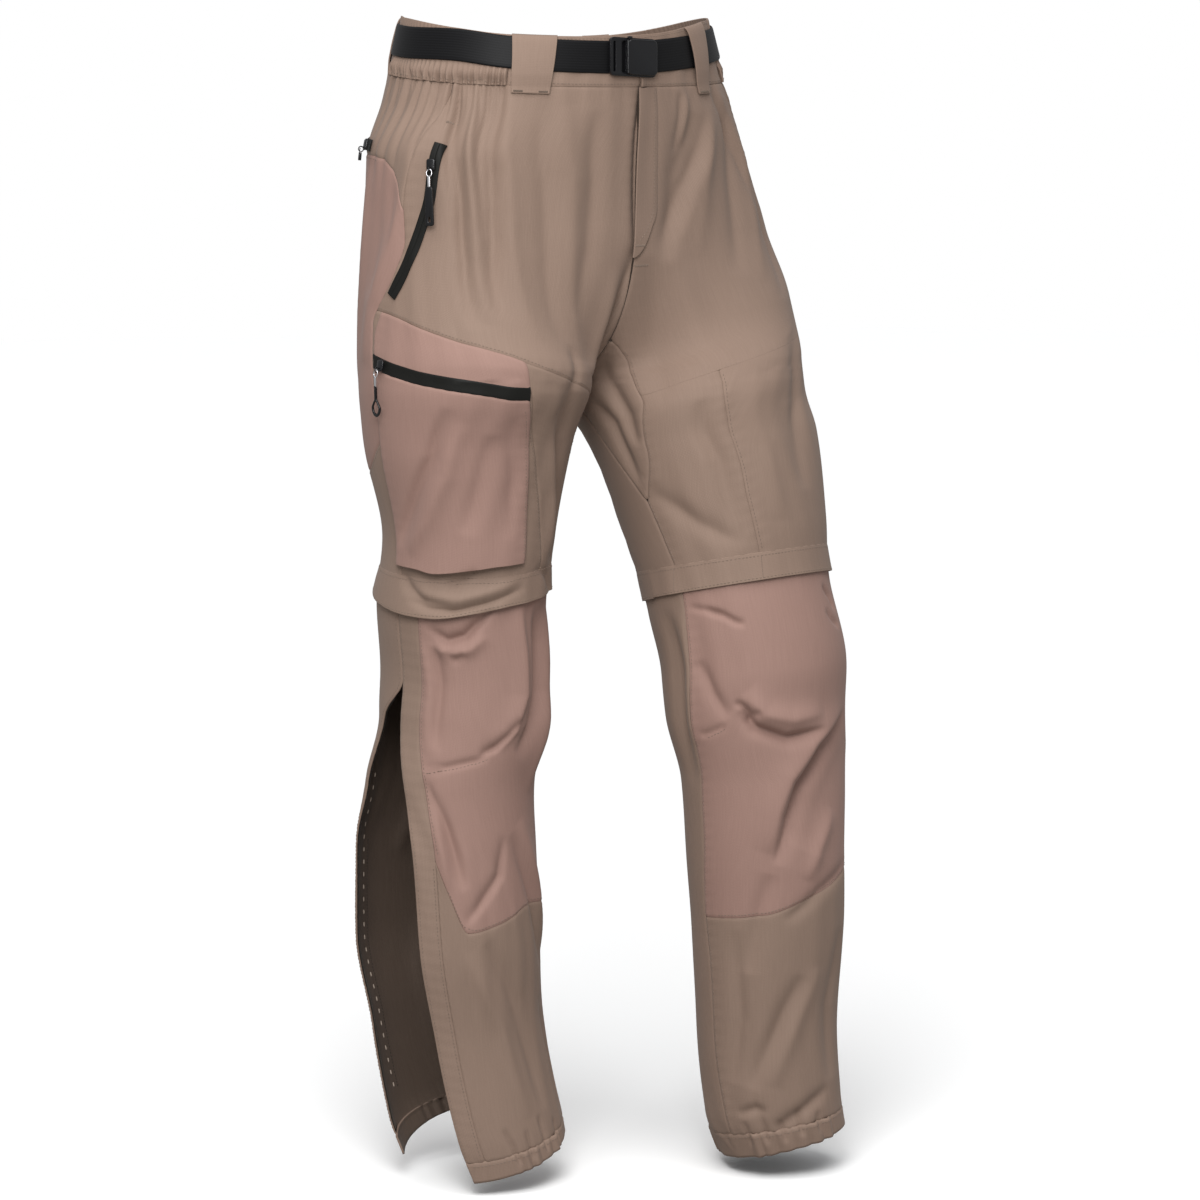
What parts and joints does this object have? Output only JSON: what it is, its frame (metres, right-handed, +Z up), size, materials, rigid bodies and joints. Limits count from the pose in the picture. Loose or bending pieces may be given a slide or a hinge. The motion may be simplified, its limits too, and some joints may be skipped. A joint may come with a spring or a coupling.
{
  "type": "convertible zip-off trousers",
  "caption": "Walking trousers with zip-off lower legs, side ankle zips, elastic waist sides, cargo pocket and webbing belt, in worn form.",
  "frame": {"origin": "middle of the waist at the height of the belt", "axes": "+Z up out of the waist, -Y towards the front, -X towards the wearer's right"},
  "size_m": [0.4432, 0.3486, 1.0291],
  "materials": {
    "shell_cloth": "matte stretch weave",
    "panel_cloth": "matte fine weave",
    "webbing": "woven webbing",
    "zip_tape": "coated zip tape",
    "moulded_black": "moulded",
    "zip_metal": "polished"
  },
  "bodies": {
    "garment": {"back_zip_right": "zip_tape", "belt_loop_back_centre": "shell_cloth", "belt_loop_back_left": "shell_cloth", "belt_loop_back_right": "shell_cloth", "belt_loop_front_left": "shell_cloth", "belt_loop_front_right": "shell_cloth", "belt_webbing": "webbing", "buckle_clasp": "moulded_black", "buckle_frame": "moulded_black", "cargo_bag_right": "panel_cloth", "cargo_top_right": "panel_cloth", "cargo_zip_right": "zip_tape", "fly_placket": "shell_cloth", "gusset_left": "shell_cloth", "gusset_right": "shell_cloth", "hand_zip_left": "zip_tape", "hand_zip_right": "zip_tape", "hem_back_right": "shell_cloth", "hem_front_right": "shell_cloth", "hem_left": "shell_cloth", "hip_front_left": "shell_cloth", "hip_front_right": "shell_cloth", "knee_left": "panel_cloth", "knee_right": "panel_cloth", "lower_back_left": "shell_cloth", "lower_back_right": "shell_cloth", "seat_left": "panel_cloth", "seat_right": "panel_cloth", "shin_left": "shell_cloth", "shin_right": "shell_cloth", "side_strip_left": "shell_cloth", "side_strip_right": "shell_cloth", "side_zip_back_right": "zip_tape", "side_zip_front_right": "zip_tape", "side_zip_left": "zip_tape", "slider_back_right": "zip_metal", "slider_cargo_right": "zip_metal", "slider_hand_left": "zip_metal", "slider_hand_right": "zip_metal", "thigh_back_left": "shell_cloth", "thigh_back_right": "shell_cloth", "thigh_front_left": "shell_cloth", "thigh_front_right": "shell_cloth", "thigh_side_left": "shell_cloth", "thigh_side_right": "shell_cloth", "waistband_back": "shell_cloth", "waistband_elastic_left": "shell_cloth", "waistband_elastic_right": "shell_cloth", "waistband_front_left": "shell_cloth", "waistband_front_right": "shell_cloth", "yoke_back_left": "shell_cloth", "yoke_back_right": "shell_cloth", "zip_off_flap_left": "shell_cloth", "zip_off_flap_right": "shell_cloth", "zip_off_ring_left": "zip_tape", "zip_off_ring_right": "zip_tape"},
    "hand_pull_right": {"pull_hand_right": "moulded_black"},
    "hand_pull_left": {"pull_hand_left": "moulded_black"},
    "cargo_pull": {"pull_cargo_right": "moulded_black"},
    "back_pull": {"pull_back_right": "moulded_black"}
  },
  "joints": [
    {"name": "hand_pull_right_swing", "type": "hinge", "parent": "garment", "child": "hand_pull_right", "pos_m": [-0.17429, -0.04481, -0.12106], "axis": [-0.5065, 0.8622, -0.0044], "range_deg": [0, 150]},
    {"name": "hand_pull_left_swing", "type": "hinge", "parent": "garment", "child": "hand_pull_left", "pos_m": [0.23532, -0.02183, -0.18625], "axis": [-0.2729, -0.9519, 0.1391], "range_deg": [0, 150]},
    {"name": "cargo_pull_swing", "type": "hinge", "parent": "garment", "child": "cargo_pull", "pos_m": [-0.19855, -0.00002, -0.29211], "axis": [-0.0139, 0.9965, 0.0825], "range_deg": [0, 150]},
    {"name": "back_pull_swing", "type": "hinge", "parent": "garment", "child": "back_pull", "pos_m": [-0.18043, 0.04603, -0.10151], "axis": [0.3772, 0.926, 0.0143], "range_deg": [0, 150]}
  ]
}
